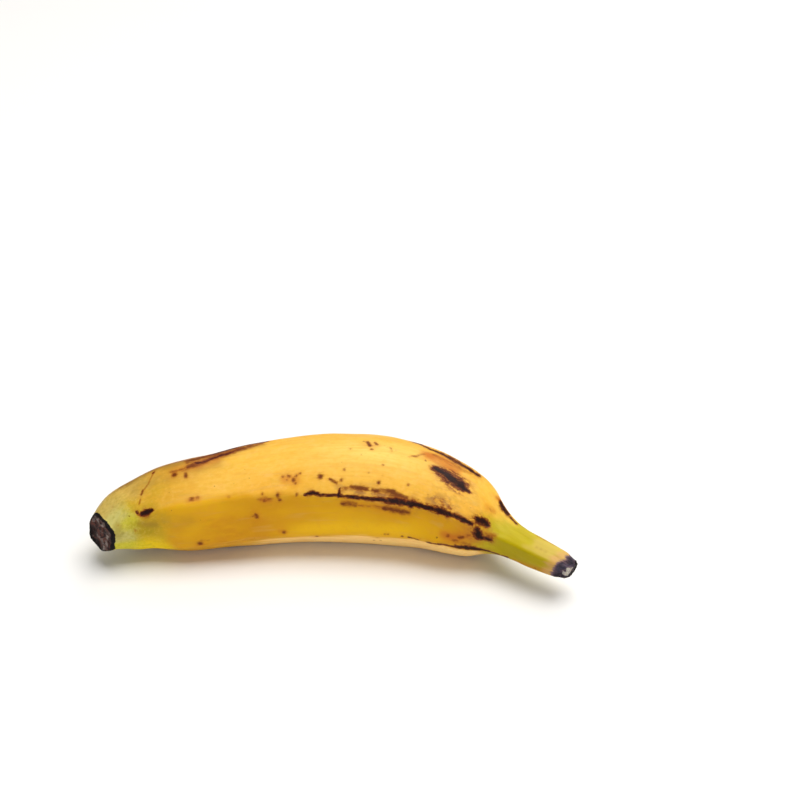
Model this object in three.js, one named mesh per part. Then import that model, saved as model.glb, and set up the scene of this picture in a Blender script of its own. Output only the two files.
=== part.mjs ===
// A ripe cooking banana, lying on its side on a flat surface, grown as one piece:
// fruit, stem and withered blossom end are one closed solid.
// Millimetres, +Z up. The underside lies on z = 0, and X runs from the blossom end to the stem.
import * as THREE from 'three';
import { mergeVertices } from 'three/addons/utils/BufferGeometryUtils.js';

// Stations along the centre line, from the blossom end to the cut stem:
// x, y, z and the mean radius of the cross-section there.
const STATIONS = [
  [-107.74, -10.98, 18.30, 9.60],
  [-99.91, -3.91, 19.39, 14.48],
  [-90.37, 1.12, 20.34, 17.26],
  [-79.59, 4.74, 21.15, 20.45],
  [-67.41, 6.72, 21.89, 22.25],
  [-54.36, 9.49, 22.58, 22.91],
  [-40.50, 12.58, 23.25, 24.07],
  [-25.93, 14.66, 23.92, 24.67],
  [-11.09, 15.90, 24.54, 25.44],
  [3.58, 16.09, 24.94, 26.02],
  [17.66, 15.42, 24.91, 26.21],
  [30.79, 13.33, 24.34, 25.47],
  [42.75, 10.39, 23.40, 24.30],
  [53.37, 6.14, 22.28, 22.81],
  [62.63, 0.84, 21.02, 21.01],
  [70.67, -5.00, 19.66, 17.92],
  [78.08, -10.18, 18.46, 12.25],
  [84.72, -15.79, 17.74, 9.04],
  [90.85, -21.25, 17.49, 7.72],
  [96.55, -26.19, 17.38, 7.36],
  [101.81, -30.50, 17.16, 6.80],
  [106.77, -34.23, 16.81, 6.09],
  [111.76, -37.42, 16.41, 5.30],
];

// At the same stations: the angles of the five ridges round the section, in degrees from the
// front (0) through the top (90), and the strength of the relief between ridges and faces.
const RIDGES = [
  [113, 22, -37, -89, -158, 1.10],
  [107, 27, -36, -87, -155, 0.80],
  [103, 31, -34, -84, -152, 0.80],
  [100, 32, -30, -81, -149, 0.92],
  [99, 33, -25, -79, -147, 1.00],
  [104, 34, -20, -76, -145, 1.00],
  [112, 33, -18, -74, -143, 1.00],
  [120, 31, -18, -74, -143, 1.00],
  [123, 29, -17, -74, -143, 1.00],
  [124, 27, -16, -74, -143, 1.00],
  [124, 25, -15, -74, -143, 1.00],
  [123, 25, -14, -74, -143, 1.00],
  [122, 27, -12, -74, -143, 1.00],
  [120, 29, -10, -76, -145, 1.00],
  [119, 31, -9, -80, -151, 0.97],
  [117, 31, -9, -84, -157, 0.95],
  [115, 30, -13, -89, -163, 0.97],
  [114, 28, -22, -92, -166, 1.00],
  [113, 28, -31, -95, -169, 0.96],
  [113, 28, -36, -97, -171, 0.91],
  [113, 27, -38, -100, -172, 0.87],
  [112, 27, -39, -102, -174, 0.84],
  [112, 27, -40, -104, -176, 0.80],
];

// Relief of the five-sided section, as fractions of its mean radius.
const RIDGE_HEIGHT = [0.040, 0.042, 0.040, 0.034, 0.036];
const FACE_DIP = [0.034, 0.016, 0.018, 0.026, 0.034];
// A ridge is rounded by averaging the relief over these angles (degrees) with these weights.
const ROUND_ANGLE = [-6, -3.6, -1.8, 0, 1.8, 3.6, 6];
const ROUND_WEIGHT = [0.08, 0.16, 0.17, 0.18, 0.17, 0.16, 0.08];

// The two ends: distance past the last station and share of its section, rim to centre.
const BLOSSOM_END = [[0.85, 0.975], [1.6, 0.93], [1.9, 0.84], [1.5, 0.55], [1.8, 0]];
const STEM_END = [[0.5, 0.96], [0.95, 0.87], [1.15, 0.72], [1.0, 0.4], [1.05, 0]];
// The blossom end stands out furthest at this angle, and the cut of the stem slants to this one.
const BLOSSOM_LEAN = -105;
const STEM_LEAN = 115;

// Facets: rings along the fruit, and columns across each of its five faces.
const RINGS = 48;
const FACE_COLUMNS = [8, 5, 6, 7, 8];

const UP = new THREE.Vector3(0, 0, 1);
const rad = THREE.MathUtils.degToRad;
const smoothstep = THREE.MathUtils.smoothstep;
const curveOf = (rows, a, b, c) => new THREE.CatmullRomCurve3(
  rows.map((row) => new THREE.Vector3(row[a], row[b] ?? 0, row[c] ?? 0)), false, 'catmullrom', 0.5);

const centreLine = curveOf(STATIONS, 0, 1, 2);
const radiusLine = curveOf(STATIONS, 3);
const upperRidges = curveOf(RIDGES, 0, 1, 2);
const lowerRidges = curveOf(RIDGES, 3, 4, 5);

// Height of the relief at one angle of a section whose ridge angles are given in falling order.
function relief(angle, ridges) {
  let sum = 0;
  for (let n = 0; n < ROUND_ANGLE.length; n++) {
    let a = angle + ROUND_ANGLE[n];
    while (a > ridges[0]) a -= 360;
    while (a < ridges[0] - 360) a += 360;
    for (let k = 0; k < 5; k++) {
      const from = ridges[k];
      const to = k < 4 ? ridges[k + 1] : ridges[0] - 360;
      if (a < to) continue;
      const u = (from - a) / (from - to);
      const crest = RIDGE_HEIGHT[k] * (1 - u) + RIDGE_HEIGHT[(k + 1) % 5] * u;
      sum += ROUND_WEIGHT[n] * (-FACE_DIP[k] + (crest + FACE_DIP[k]) * (2 * u - 1) ** 2);
      break;
    }
  }
  return sum;
}

// The rings in order: centre of the blossom end, its rings, the fruit, the rings of the cut stem
// end and its centre. Each has a place on the centre line, a step past the end and a share.
const rings = [];
for (const [step, share] of [...BLOSSOM_END].reverse()) rings.push({ at: 0, step: -step, share });
for (let i = 0; i <= RINGS; i++) rings.push({ at: i / RINGS, step: 0, share: 1 });
for (const [step, share] of STEM_END) rings.push({ at: 1, step, share });

// The straight fruit, turned as a lathe profile that starts and ends on the axis.
const length = centreLine.getLength();
const columns = FACE_COLUMNS.reduce((a, b) => a + b, 0);
const profile = rings.map((ring) => new THREE.Vector2(
  ring.share * radiusLine.getPoint(ring.at).x, -(ring.at * length + ring.step)));
const geometry = new THREE.LatheGeometry(profile, columns);

// The straight fruit is bent along the centre line and takes its five-sided section.
// Whatever would press into the surface is flat on it.
const position = geometry.attributes.position;
rings.forEach((ring, j) => {
  const centre = centreLine.getPoint(ring.at);
  const along = centreLine.getTangent(ring.at);
  const up = UP.clone().addScaledVector(along, -along.dot(UP)).normalize();
  const front = new THREE.Vector3().crossVectors(along, up);
  const radius = ring.share * radiusLine.getPoint(ring.at).x;
  const upper = upperRidges.getPoint(ring.at);
  const lower = lowerRidges.getPoint(ring.at);
  const ridges = [upper.x, upper.y, upper.z, lower.x, lower.y];
  // over its last millimetres the stem is drawn in, more above than below, and its end slants
  const dried = smoothstep(ring.at * length, length - 7, length);
  const drawn = smoothstep(ring.at * length, length - 5.5, length + 0.3);
  let i = 0;
  for (let k = 0; k < 5; k++) {
    const to = k < 4 ? ridges[k + 1] : ridges[0] - 360;
    for (let m = 0; m < FACE_COLUMNS[k]; m++, i++) {
      const angle = ridges[k] + (to - ridges[k]) * m / FACE_COLUMNS[k];
      const lean = ring.step < 0 ? 1 + ring.share * Math.cos(rad(angle - BLOSSOM_LEAN)) : 1;
      const slant = dried * (0.3 + ring.share * Math.cos(rad(angle - STEM_LEAN)));
      const narrow = 1 - drawn * (0.16 + 0.10 * Math.cos(rad(angle - 110)));
      const r = radius * narrow * (1 + lower.z * relief(angle, ridges));
      const p = centre.clone()
        .addScaledVector(along, ring.step * lean + slant)
        .addScaledVector(front, r * Math.cos(rad(angle)))
        .addScaledVector(up, r * Math.sin(rad(angle)));
      p.z = Math.max(0, p.z);
      position.setXYZ(i * rings.length + j, p.x, p.y, p.z);
      if (i === 0) position.setXYZ(columns * rings.length + j, p.x, p.y, p.z);
    }
  }
});

// One closed skin: shared vertices merged, and the empty facets at the two poles left out.
geometry.deleteAttribute('normal');
geometry.deleteAttribute('uv');
const solid = mergeVertices(geometry, 1e-4);
const kept = [];
for (let n = 0; n < solid.index.count; n += 3) {
  const [a, b, c] = [0, 1, 2].map((m) => solid.index.getX(n + m));
  if (a !== b && b !== c && c !== a) kept.push(a, b, c);
}
solid.setIndex(kept);
solid.computeVertexNormals();

const peel = new THREE.MeshStandardMaterial({ color: 0xdca93c, roughness: 0.5, metalness: 0 });
const fruit = new THREE.Mesh(solid, peel);
fruit.name = 'banana';

const banana = new THREE.Group();
banana.add(fruit);

export default banana;
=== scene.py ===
# A ripe cooking banana on a pale floor: one fine mesh of the whole fruit, with its peel, stem and
# blossom end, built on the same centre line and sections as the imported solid.
import math

import bpy
import numpy as np
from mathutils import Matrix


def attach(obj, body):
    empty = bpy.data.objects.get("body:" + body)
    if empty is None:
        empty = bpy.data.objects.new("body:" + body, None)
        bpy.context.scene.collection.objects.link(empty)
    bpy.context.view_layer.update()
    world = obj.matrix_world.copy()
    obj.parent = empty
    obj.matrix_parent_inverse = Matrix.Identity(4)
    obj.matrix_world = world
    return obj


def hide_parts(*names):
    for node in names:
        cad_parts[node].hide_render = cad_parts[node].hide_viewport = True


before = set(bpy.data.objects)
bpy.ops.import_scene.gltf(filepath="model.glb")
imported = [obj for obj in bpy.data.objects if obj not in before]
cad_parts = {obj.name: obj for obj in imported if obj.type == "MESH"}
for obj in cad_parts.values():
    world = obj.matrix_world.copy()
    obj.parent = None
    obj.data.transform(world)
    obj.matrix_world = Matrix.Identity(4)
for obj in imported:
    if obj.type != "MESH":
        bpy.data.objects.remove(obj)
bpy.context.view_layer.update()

MM = 0.001

# ---------------------------------------------------------------- the fruit's shape, in millimetres
# x, y, z and mean radius of the stations, blossom end to stem
STATIONS = np.array([
    (-107.74, -10.98, 18.30, 9.60),
    (-99.91, -3.91, 19.39, 14.48),
    (-90.37, 1.12, 20.34, 17.26),
    (-79.59, 4.74, 21.15, 20.45),
    (-67.41, 6.72, 21.89, 22.25),
    (-54.36, 9.49, 22.58, 22.91),
    (-40.50, 12.58, 23.25, 24.07),
    (-25.93, 14.66, 23.92, 24.67),
    (-11.09, 15.90, 24.54, 25.44),
    (3.58, 16.09, 24.94, 26.02),
    (17.66, 15.42, 24.91, 26.21),
    (30.79, 13.33, 24.34, 25.47),
    (42.75, 10.39, 23.40, 24.30),
    (53.37, 6.14, 22.28, 22.81),
    (62.63, 0.84, 21.02, 21.01),
    (70.67, -5.00, 19.66, 17.92),
    (78.08, -10.18, 18.46, 12.25),
    (84.72, -15.79, 17.74, 9.04),
    (90.85, -21.25, 17.49, 7.72),
    (96.55, -26.19, 17.38, 7.36),
    (101.81, -30.50, 17.16, 6.80),
    (106.77, -34.23, 16.81, 6.09),
    (111.76, -37.42, 16.41, 5.30),
])
# angles of the five ridges (degrees from the front through the top) and strength of the relief
RIDGES = np.array([
    (113, 22, -37, -89, -158, 1.10),
    (107, 27, -36, -87, -155, 0.80),
    (103, 31, -34, -84, -152, 0.80),
    (100, 32, -30, -81, -149, 0.92),
    (99, 33, -25, -79, -147, 1.00),
    (104, 34, -20, -76, -145, 1.00),
    (112, 33, -18, -74, -143, 1.00),
    (120, 31, -18, -74, -143, 1.00),
    (123, 29, -17, -74, -143, 1.00),
    (124, 27, -16, -74, -143, 1.00),
    (124, 25, -15, -74, -143, 1.00),
    (123, 25, -14, -74, -143, 1.00),
    (122, 27, -12, -74, -143, 1.00),
    (120, 29, -10, -76, -145, 1.00),
    (119, 31, -9, -80, -151, 0.97),
    (117, 31, -9, -84, -157, 0.95),
    (115, 30, -13, -89, -163, 0.97),
    (114, 28, -22, -92, -166, 1.00),
    (113, 28, -31, -95, -169, 0.96),
    (113, 28, -36, -97, -171, 0.91),
    (113, 27, -38, -100, -172, 0.87),
    (112, 27, -39, -102, -174, 0.84),
    (112, 27, -40, -104, -176, 0.80),
])
RIDGE_HEIGHT = np.array([0.040, 0.042, 0.040, 0.034, 0.036])
FACE_DIP = np.array([0.034, 0.016, 0.018, 0.026, 0.034])
ROUND_ANGLE = (-6, -3.6, -1.8, 0, 1.8, 3.6, 6)
ROUND_WEIGHT = (0.08, 0.16, 0.17, 0.18, 0.17, 0.16, 0.08)

# marks on the peel: kind, strength and a line of (length along the fruit, angle, half width)
MARKS = [
    ("scar", 0.90, [(100.6, 28.2, 0.37), (102.7, 29.2, 0.7), (105.4, 30.2, 0.7), (108.1, 28.5, 0.61)]),
    ("scar", 0.85, [(108.1, 27.8, 0.41), (112.7, 27, 0.41), (117.3, 27, 0.45)]),
    ("scar", 0.85, [(118.9, 33.8, 0.26), (118.7, 30.5, 0.36), (118.4, 27, 0.55)]),
    ("scar", 0.90, [(118.3, 26.5, 0.58), (122.1, 26.2, 0.49), (126.9, 25.8, 0.58), (133.4, 25.2, 0.61), (139, 25.5, 0.65), (143.3, 25.8, 0.78), (148.4, 26.5, 1.1), (153, 27, 1.07), (157.1, 27.5, 0.82)]),
    ("scar", 1.00, [(159.6, 27, 1.4)]),
    ("scar", 1.00, [(156.8, 27.8, 0.85), (161.9, 28.5, 0.72), (167.5, 29.4, 0.74), (172.6, 30.8, 0.95), (176.7, 32.2, 1.15), (181, 33.2, 1.05)]),
    ("brown", 0.80, [(146, 31, 1.0), (151, 30.5, 1.2), (156, 29.5, 1.0)]),
    ("brown", 0.50, [(119.6, 32.5, 0.9), (122.5, 34.5, 0.8)]),
    ("brown", 0.80, [(64, 98.5, 1.2), (70, 101.5, 1.4), (76, 105.5, 1.3), (82, 111, 1.1)]),
    ("shade", 0.55, [(207, -44, 1.8), (217, -44, 2.0), (228, -42, 2.0)]),
    ("scar", 0.90, [(181, 33.2, 0.95), (185.8, 34.8, 0.85), (189.3, 35, 0.7), (192.5, 35.2, 0.7)]),
    ("brown", 1.00, [(124.6, 35.8, 0.8), (129.1, 35.2, 1.1), (133.6, 34.2, 0.9)]),
    ("brown", 1.00, [(136.5, 34.5, 0.7), (138.5, 33.8, 1.0), (140.4, 34.8, 0.9)]),
    ("brown", 0.90, [(141.2, 35, 0.9), (144.7, 35.5, 1.2), (147.6, 36, 1.0)]),
    ("brown", 1.00, [(146.6, 34.2, 0.9), (150.6, 33.2, 1.1), (155.4, 32.2, 0.9)]),
    ("grey", 0.90, [(128, 30.2, 1.46), (134.5, 30, 1.59), (139.8, 30.2, 1.46), (144.1, 30.5, 1.08)]),
    ("brown", 0.80, [(120.5, 18.3, 1), (123.7, 18, 1.35), (127.5, 17.8, 1)]),
    ("brown", 0.42, [(128.3, 17.2, 0.8), (136.1, 17.2, 0.85), (143.9, 17.8, 0.95)]),
    ("brown", 0.88, [(143.6, 17.2, 1.1), (148.4, 16.8, 1.4), (153.8, 16.8, 1.4), (159.2, 17.2, 0.9)]),
    ("stain", 0.35, [(121, 19, 1.93), (137.2, 17.8, 2.17), (157.9, 18.8, 2.42)]),
    ("brown", 0.60, [(161.4, 79.8, 0.97), (164.3, 80.5, 1.26)]),
    ("scar", 0.95, [(163.5, 80, 1.1), (167.3, 79.6, 1.9), (170.5, 79, 2.4), (174, 77.6, 2.8), (177.8, 76.4, 2.7), (180.6, 75.8, 1.7)]),
    ("scar", 0.80, [(180.6, 75.8, 1.5), (184, 76.2, 0.8)]),
    ("grey", 0.95, [(163.8, 81, 1.6), (168.5, 81.5, 2.1), (173, 80, 1.8)]),
    ("brown", 0.55, [(167, 44, 0.63)]),
    ("grey", 0.95, [(168.1, 42, 2.03), (173.2, 43.5, 2.17), (177.5, 45.2, 1.89)]),
    ("brown", 0.50, [(171.3, 42.2, 0.58), (173.2, 40.5, 0.48)]),
    ("brown", 0.50, [(175.6, 47.2, 0.53)]),
    ("brown", 0.50, [(178.6, 48, 0.58), (180.4, 45.8, 0.58)]),
    ("brown", 0.50, [(167.3, 33.8, 0.48), (169.2, 34, 0.43)]),
    ("scar", 0.70, [(147.9, 122.8, 0.69), (151.9, 120.5, 0.69), (156.8, 114.8, 0.77), (161.9, 114.5, 0.85), (166.2, 113.2, 1.23), (169.2, 113, 1.39)]),
    ("scar", 0.80, [(169.2, 113, 1.23), (174.3, 112, 0.93), (180.4, 112.5, 1.01)]),
    ("stain", 0.90, [(156, 100.8, 1.81), (161.6, 102, 2.41), (167.3, 100, 3.02), (171.8, 97.5, 2.71)]),
    ("brown", 0.50, [(150.3, 84.2, 0.68), (153, 88.8, 0.87), (156, 97.8, 0.72)]),
    ("brown", 0.40, [(163.2, 99.8, 0.48), (166.7, 100, 0.48), (169.4, 99, 0.58)]),
    ("scar", 0.95, [(193.9, 45.8, 1.45), (196.3, 46.8, 1.64), (198.5, 46, 1.16)]),
    ("scar", 1.00, [(195.5, 27.8, 1.26), (196.6, 20.5, 1.84), (198.5, 14.8, 1.06)]),
    ("scar", 0.75, [(201.4, 16, 0.97), (203.6, 17.8, 0.97)]),
    ("brown", 0.70, [(192.8, 12, 0.68)]),
    ("stain", 0.60, [(192.3, 27, 2.42), (197.9, 29.5, 2.9), (203.8, 23, 1.93)]),
    ("stain", 0.55, [(194.4, 76.2, 1.45), (197.1, 82.5, 1.45)]),
    ("brown", 0.45, [(195, 78, 0.48), (196.3, 77.8, 0.48)]),
    ("scar", 0.95, [(196.3, 112.5, 0.77), (198.2, 110.8, 1.16), (200.3, 109, 0.97), (202.5, 109, 0.77)]),
    ("scar", 0.60, [(202.5, 109, 0.58), (205.7, 106.8, 0.43), (209.2, 105.8, 0.34)]),
    ("stain", 0.80, [(194.2, 109.8, 1.16), (195.8, 112.8, 1.26)]),
    ("scar", 0.55, [(156, -14.8, 0.68)]),
    ("scar", 0.55, [(160.8, -14.5, 0.56), (166.7, -16.2, 0.51)]),
    ("scar", 0.60, [(172.9, -17.5, 0.56), (178.6, -15, 0.56), (184.8, -13, 0.62), (188.8, -11.5, 0.69)]),
    ("scar", 0.95, [(189.1, -11, 0.82), (192.3, -11, 1), (196, -15, 0.94), (199.8, -20, 0.94), (203, -23.2, 0.62)]),
    ("scar", 0.55, [(203, -23.2, 0.51), (207.3, -25.8, 0.51), (212.4, -27.2, 0.44)]),
    ("brown", 0.50, [(189.1, -3, 0.97), (191.2, -2.2, 1.26), (193.6, -4, 0.87)]),
    ("speck", 0.90, [(39.5, 79, 0.92)]),
    ("speck", 0.80, [(44.6, 78, 0.53), (44.6, 72.5, 0.58)]),
    ("brown", 0.60, [(37.9, 85.2, 0.87), (42.2, 84.8, 1.06), (46, 84.8, 0.97)]),
    ("speck", 0.70, [(45.7, 40.8, 0.77)]),
    ("speck", 0.55, [(48.1, 41.5, 0.63)]),
    ("stain", 0.50, [(44.4, 40.2, 1.21), (48.1, 39, 1.45)]),
    ("speck", 0.35, [(61.9, 36.2, 0.63)]),
    ("speck", 0.65, [(79.3, 33.8, 0.58)]),
    ("stain", 0.80, [(78, 27.5, 0.87), (83.1, 25.8, 0.87)]),
    ("speck", 0.60, [(80.1, 26.5, 0.72)]),
    ("speck", 0.95, [(87.1, 30.5, 0.72)]),
    ("speck", 0.75, [(87.9, 25.5, 0.68)]),
    ("speck", 0.75, [(96.8, 29.5, 0.63)]),
    ("stain", 0.30, [(92, 46.2, 1.93), (96.5, 43, 1.93)]),
    ("speck", 0.90, [(109.5, 47.2, 0.97)]),
    ("speck", 0.75, [(114, 44, 0.43), (115.6, 42, 0.58), (117.3, 39.8, 0.48)]),
    ("speck", 0.75, [(119.7, 43, 0.63)]),
    ("speck", 0.60, [(121, 54.8, 0.53)]),
    ("speck", 0.40, [(123.2, 83.5, 0.48)]),
    ("speck", 0.45, [(140.9, 92.8, 0.39), (142, 86.5, 0.39)]),
    ("speck", 0.35, [(143.6, 89.5, 0.39)]),
    ("speck", 0.65, [(139.6, 64.2, 0.48)]),
    ("speck", 0.35, [(133.4, 52.2, 0.48)]),
    ("speck", 0.95, [(139.3, 42.8, 0.68)]),
    ("speck", 0.60, [(154.1, 47, 0.58)]),
    ("speck", 0.40, [(140.4, 51.2, 0.39)]),
    ("speck", 0.40, [(123.2, 35.2, 0.48)]),
    ("speck", 0.50, [(158.9, 33.2, 0.48), (159.7, 32.2, 0.43)]),
    ("speck", 0.45, [(162.4, 34, 0.43)]),
    ("speck", 0.80, [(74.5, 11.8, 0.39), (75.3, 8.5, 0.82)]),
    ("speck", 0.75, [(88.5, -14.8, 0.72)]),
    ("stain", 0.45, [(86.1, -12.5, 0.77), (89.6, -14.5, 0.77)]),
    ("speck", 0.95, [(46.5, -20.5, 0.82)]),
    ("brown", 0.45, [(47.1, -14.8, 0.68), (49.8, -16, 0.77)]),
    ("speck", 0.85, [(106, -25.5, 0.58)]),
    ("speck", 0.55, [(145.2, -15, 0.48)]),
    ("speck", 0.70, [(138.6, -33.5, 0.40)]),
    ("speck", 0.70, [(142.4, -32, 0.42)]),
    ("speck", 0.60, [(140.9, -24, 0.34)]),
    ("speck", 0.65, [(147.1, -14, 0.38)]),
    ("speck", 0.30, [(168.6, -11.5, 0.48)]),
    ("scar", 1.00, [(18.3, 36, 0.82), (21, 36.5, 1.06), (23.9, 37, 0.77)]),
    ("scar", 0.90, [(16.1, 40.8, 0.72)]),
    ("brown", 0.80, [(16.4, 37.5, 0.77), (18.3, 33.5, 1.06), (20.7, 32, 0.97)]),
    ("brown", 0.42, [(15.3, 34.2, 0.68), (19.4, 29, 0.87)]),
    ("line", 0.95, [(30.1, 95.2, 0.5), (28.2, 88, 0.38), (26.1, 80, 0.38), (23.7, 74.2, 0.4)]),
    ("shade", 0.62, [(20, 86, 3.2), (34, 81, 4.0), (48, 80, 4.0), (60, 85, 3.4)]),
    ("scar", 0.60, [(30.1, 95.5, 0.58)]),
    ("speck", 0.80, [(22.9, 74, 0.39), (21.5, 67.5, 0.48)]),
    ("speck", 0.60, [(20.4, 60.8, 0.34), (18.8, 52.8, 0.43)]),
    ("shade", 0.75, [(15.3, 23.5, 1.26), (19.6, 17.2, 1.74), (24.5, 14, 1.64)]),
    ("shade", 0.45, [(29.5, 19.5, 2.4), (36, 15.5, 3.4), (43.8, 14.2, 2.9)]),
    ("speck", 0.45, [(11.8, 12.2, 0.58)]),
    ("speck", 0.30, [(3.8, 35.5, 0.48)]),
    ("speck", 0.30, [(6.7, 81, 0.48)]),
    ("brown", 0.95, [(46, 87.5, 1.22), (48.9, 88.8, 1.57), (51.9, 90.2, 1.75), (55.4, 92.5, 1.39)]),
    ("scar", 0.80, [(50.6, 91, 0.84), (53.2, 92.2, 0.91), (56.7, 95.2, 0.7)]),
    ("scar", 0.70, [(57.8, 95.8, 0.62), (62.4, 98.2, 0.77), (65.9, 100, 0.77), (68.8, 102.2, 0.57)]),
    ("brown", 0.90, [(54.3, 94.5, 1.39), (60, 98.2, 1.48), (65.9, 101.2, 1.39), (71.8, 105.2, 1.3), (77.4, 109.8, 0.95)]),
    ("scar", 0.55, [(55.4, 103, 0.57), (61.3, 105.8, 0.57), (68, 108.5, 0.57), (74.8, 112.2, 0.49)]),
    ("shade", 0.50, [(29.6, 102.5, 1.04), (36.8, 98.2, 1.22), (44.9, 98.5, 1.22), (52.2, 100.8, 1.22)]),
    ("brown", 0.35, [(220.8, 108.2, 0.34), (226.4, 109.5, 0.39), (231.8, 113, 0.39)]),
    ("grey", 0.90, [(172, 40, 1.7), (178, 39.5, 2.2), (184, 41, 2)]),
    ("brown", 0.62, [(174, 44, 0.6), (176, 41.5, 0.7), (177.5, 39, 0.6)]),
    ("brown", 0.60, [(180, 42, 0.6), (182, 39.5, 0.7)]),
    ("grey", 0.75, [(166.5, 72.5, 1.1), (171, 69.8, 1.5), (176, 68.8, 1.5), (180, 70, 1)]),
    ("shade", 0.85, [(18, 106, 1.8), (30, 101.5, 2.6), (44, 99.5, 2.7), (56, 102, 2)]),
    ("stain", 0.55, [(40, 86, 2), (50, 88, 2.6), (60, 93, 2.2)]),
    ("grey", 0.55, [(118, 36, 1.5), (126, 34.5, 2), (136, 33.5, 2.2), (146, 33, 1.8)]),
    ("stain", 0.50, [(186, 2, 2.4), (192, 8, 3), (198, 6, 2.4)]),
    ("stain", 0.80, [(182, 4, 2.2), (187, 2, 2.8), (192, 8, 3)]),
    ("brown", 0.50, [(199, 24, 1), (202, 30, 1.4), (205, 36, 1)]),
    ("stain", 0.90, [(158, 96, 2.4), (164, 95, 2.8), (171, 93, 2.6)]),
    ("brown", 0.55, [(160, 104, 1), (166, 103.5, 1.3), (172, 104, 1.3), (178, 105, 1)]),
    ("shade", 0.70, [(34, 92, 2.5), (46, 91, 3), (58, 95, 2.6), (70, 101, 2.2), (82, 106, 1.8)]),
    ("brown", 0.90, [(46, 97, 1.3), (54, 102, 1.9), (62, 106, 2.3), (72, 111, 2.2), (82, 116, 1.7)]),
    ("scar", 0.80, [(58, 107, 0.9), (66, 110, 1.3), (75, 114, 1.2), (84, 118, 0.9)]),
    ("brown", 0.62, [(22, 108, 0.6), (32, 105, 0.9), (42, 104, 1.0), (52, 106, 1.1)]),
    ("stain", 0.60, [(216, -32, 1), (224, -30, 1.4), (232, -25, 1.6)]),
    ("speck", 0.70, [(185, 3, 0.6)]),
    ("speck", 0.60, [(188, -1, 0.5), (189, 0, 0.5)]),
    ("speck", 0.75, [(190, 6, 0.7), (191, 8, 0.5)]),
    ("brown", 0.50, [(77, 29, 0.8), (81, 27.5, 1.1), (84, 27, 0.8)]),
    ("brown", 0.45, [(72, 9.5, 0.8), (76, 9, 1)]),
    ("speck", 0.95, [(130.4, 98, 0.46), (131.8, 90, 0.6)]),
    ("speck", 0.80, [(132.9, 84.8, 0.55)]),
    ("speck", 0.75, [(133.6, 98, 0.42), (134.6, 94, 0.48)]),
    ("stain", 0.30, [(129, 92, 1.6), (135, 92, 1.8)]),
    ("grey", 0.85, [(142, 26.2, 1), (148, 26.8, 1.5), (154, 27.3, 1.5), (158, 27.8, 1)]),
    ("speck", 0.64, [(90.6, 50.5, 0.62)]),
    ("speck", 0.72, [(93.2, 51, 0.6), (93.9, 50, 0.55)]),
    ("speck", 0.82, [(95.8, 45.4, 0.8)]),
    ("speck", 0.68, [(97.4, 50.2, 0.55)]),
    ("speck", 0.64, [(99.4, 52.6, 0.5)]),
    ("speck", 0.60, [(92.6, 46.2, 0.48)]),
    ("speck", 0.60, [(96.6, 41.6, 0.5)]),
    ("stain", 0.45, [(91, 48, 2), (97, 47, 2.4)]),
    ("shade", 0.75, [(225.2, 62, 0.75)]),
    ("shade", 0.80, [(227.4, 63, 0.85)]),
    ("shade", 0.70, [(229.8, 63, 0.8)]),
]
# the back and the underside, in the same manner
MARKS += [
    ("scar", 1.00, [(38, 128, 0.5), (46, 131, 0.9), (55, 133, 1.2), (63, 134, 0.9), (70, 134, 0.5)]),
    ("scar", 0.90, [(74, 136, 0.5), (82, 137, 0.8), (90, 137, 0.6)]),
    ("brown", 0.80, [(56, 141, 1.2), (66, 142, 1.6), (76, 143, 1.1)]),
    ("scar", 1.00, [(118, 152, 1.0), (123, 153, 2.2), (128, 152, 2.6), (133, 151, 1.8), (137, 150, 0.8)]),
    ("grey", 0.80, [(121, 154, 1.5), (127, 154, 1.8)]),
    ("stain", 0.70, [(116, 148, 3.0), (130, 147, 3.5), (140, 150, 2.5)]),
    ("scar", 1.00, [(95, 214, 0.5), (104, 215, 0.9), (113, 216, 1.1), (124, 217, 1.4), (133, 217, 1.0), (141, 216, 0.6)]),
    ("scar", 0.85, [(146, 216, 0.5), (155, 216, 0.8), (166, 215, 1.0), (175, 213, 0.6)]),
    ("brown", 0.80, [(100, 207, 0.9), (112, 208, 1.3), (122, 209, 0.8)]),
    ("brown", 0.65, [(148, 205, 0.8), (160, 205, 1.2), (168, 204, 0.7)]),
    ("grey", 0.80, [(106, 211, 1.2), (120, 212, 1.6), (130, 212, 1.1)]),
    ("scar", 0.90, [(14, 170, 0.6), (17, 171, 1.2), (21, 172, 0.8)]),
    ("stain", 0.50, [(18, 168, 2.5)]),
    ("brown", 0.70, [(24, 196, 0.7), (30, 197, 1.0), (37, 199, 0.6)]),
    ("scar", 0.95, [(188, 165, 0.9), (193, 166, 1.6), (198, 167, 1.1)]),
    ("stain", 0.70, [(188, 160, 3.0), (196, 170, 3.0)]),
    ("brown", 0.70, [(184, 180, 0.8), (190, 182, 1.2), (195, 184, 0.7)]),
    ("scar", 0.70, [(203, 186, 0.5), (209, 186, 0.6), (216, 187, 0.4)]),
    ("scar", 0.80, [(60, 288, 0.5), (72, 287, 0.8), (84, 286, 0.7)]),
    ("scar", 0.90, [(120, 286, 0.6), (134, 286, 1.0), (148, 287, 0.8)]),
    ("brown", 0.70, [(98, 250, 1.5), (105, 248, 2.0), (112, 247, 1.2)]),
    ("stain", 0.50, [(60, 235, 3.0), (75, 240, 3.5)]),
]



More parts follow.
